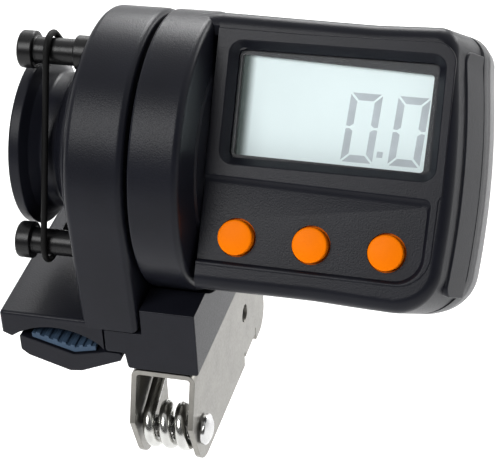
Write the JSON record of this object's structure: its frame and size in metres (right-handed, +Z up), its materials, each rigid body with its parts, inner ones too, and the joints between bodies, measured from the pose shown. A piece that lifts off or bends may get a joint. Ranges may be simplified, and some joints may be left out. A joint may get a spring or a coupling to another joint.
{
  "type": "clip-on fishing line counter",
  "caption": "Clip-on line counter for a fishing rod: grooved counting wheel with guide posts and a rubber band, tilting digital display with orange buttons, spring-loaded rod clamp.",
  "frame": {"origin": "rod seat: middle of the flat underside of the upper rubber pad, which lies on the rod", "axes": "+X along the wheel's axle towards the display, Y along the rod with the user's side at -Y, +Z up"},
  "size_m": [0.094, 0.0631, 0.0912],
  "materials": {
    "black_plastic": "fine-grained satin black",
    "satin_plastic": "smooth satin black",
    "steel_sheet": "tumbled, faintly mottled",
    "bright_steel": "bright plated",
    "blue_rubber": "matte blue-grey rubber",
    "black_rubber": "matte black rubber",
    "orange_plastic": "semi-gloss orange",
    "lcd_glass": "pale greenish liquid crystal panel",
    "clear_lens": "clear",
    "board_green": "green solder mask",
    "bronze": "sintered bronze and sprung bronze strip",
    "magnet": "nickel grey",
    "white_plastic": "natural white"
  },
  "bodies": {
    "stand": {"bracket": "black_plastic", "clamp_block": "black_plastic", "block_screw_1": "steel_sheet", "block_screw_2": "steel_sheet", "channel_screw_1": "steel_sheet", "channel_screw_2": "steel_sheet", "upper_pad": "blue_rubber", "clamp_channel": "steel_sheet", "spring_pin": "bright_steel", "pivot_pin": "steel_sheet", "torsion_spring": "bright_steel", "guide_post_top": "satin_plastic", "guide_post_bottom": "satin_plastic", "line_band": "black_rubber", "axle": "bright_steel", "axle_clip": "bright_steel", "thrust_washer": "white_plastic", "friction_ring": "black_rubber", "swivel_washer": "bright_steel", "swivel_clip": "bright_steel", "sensor_board": "board_green", "wheel_sensor_1": "satin_plastic", "wheel_sensor_2": "satin_plastic"},
    "wheel": {"counting_wheel": "black_plastic", "wheel_magnet_1": "magnet", "wheel_magnet_2": "magnet", "wheel_cap": "satin_plastic", "left_bush": "bronze", "right_bush": "bronze"},
    "display": {"front_case": "black_plastic", "rear_case": "black_plastic", "case_screw_1": "steel_sheet", "case_screw_2": "steel_sheet", "case_screw_3": "steel_sheet", "case_screw_4": "steel_sheet", "coin_cell": "bright_steel", "negative_contact": "bronze", "positive_contact": "bronze", "display_lens": "clear_lens", "lcd_panel": "lcd_glass", "lcd_holder": "white_plastic", "circuit_board": "board_green", "keypad": "black_rubber"},
    "jaw": {"jaw_lever": "steel_sheet", "lower_jaw": "black_plastic", "lower_pad": "blue_rubber", "jaw_screw_1": "steel_sheet", "jaw_screw_2": "steel_sheet"},
    "left_key": {"button_left": "orange_plastic"},
    "middle_key": {"button_middle": "orange_plastic"},
    "right_key": {"button_right": "orange_plastic"},
    "door": {"battery_door": "black_plastic"}
  },
  "joints": [
    {"name": "wheel_spin", "type": "hinge", "parent": "stand", "child": "wheel", "pos_m": [0.0174, 0, 0.0297], "axis": [1, 0, 0], "continuous": true},
    {"name": "display_tilt", "type": "hinge", "parent": "stand", "child": "display", "pos_m": [0.0174, 0, 0.0297], "axis": [1, 0, 0], "range_deg": [-56, 45]},
    {"name": "clamp_open", "type": "hinge", "parent": "stand", "child": "jaw", "pos_m": [0.0174, 0.0125, -0.0191], "axis": [1, 0, 0], "range_deg": [0, 18], "stiffness_Nm_per_rad": 0.25, "springref_deg": -34.38, "deforming": ["torsion_spring"]},
    {"name": "press_left", "type": "slide", "parent": "display", "child": "left_key", "axis": [0, 0.832, -0.5548], "range_m": [0, 0.0008], "stiffness_N_per_m": 1500, "springref_m": -0.0002},
    {"name": "press_middle", "type": "slide", "parent": "display", "child": "middle_key", "axis": [0, 0.832, -0.5548], "range_m": [0, 0.0008], "stiffness_N_per_m": 1500, "springref_m": -0.0002},
    {"name": "press_right", "type": "slide", "parent": "display", "child": "right_key", "axis": [0, 0.832, -0.5548], "range_m": [0, 0.0008], "stiffness_N_per_m": 1500, "springref_m": -0.0002},
    {"name": "battery_door_turn", "type": "hinge", "parent": "display", "child": "door", "pos_m": [0.05615, 0.01057, 0.02265], "axis": [0, 0.832, -0.5548], "range_deg": [0, 30]}
  ]
}
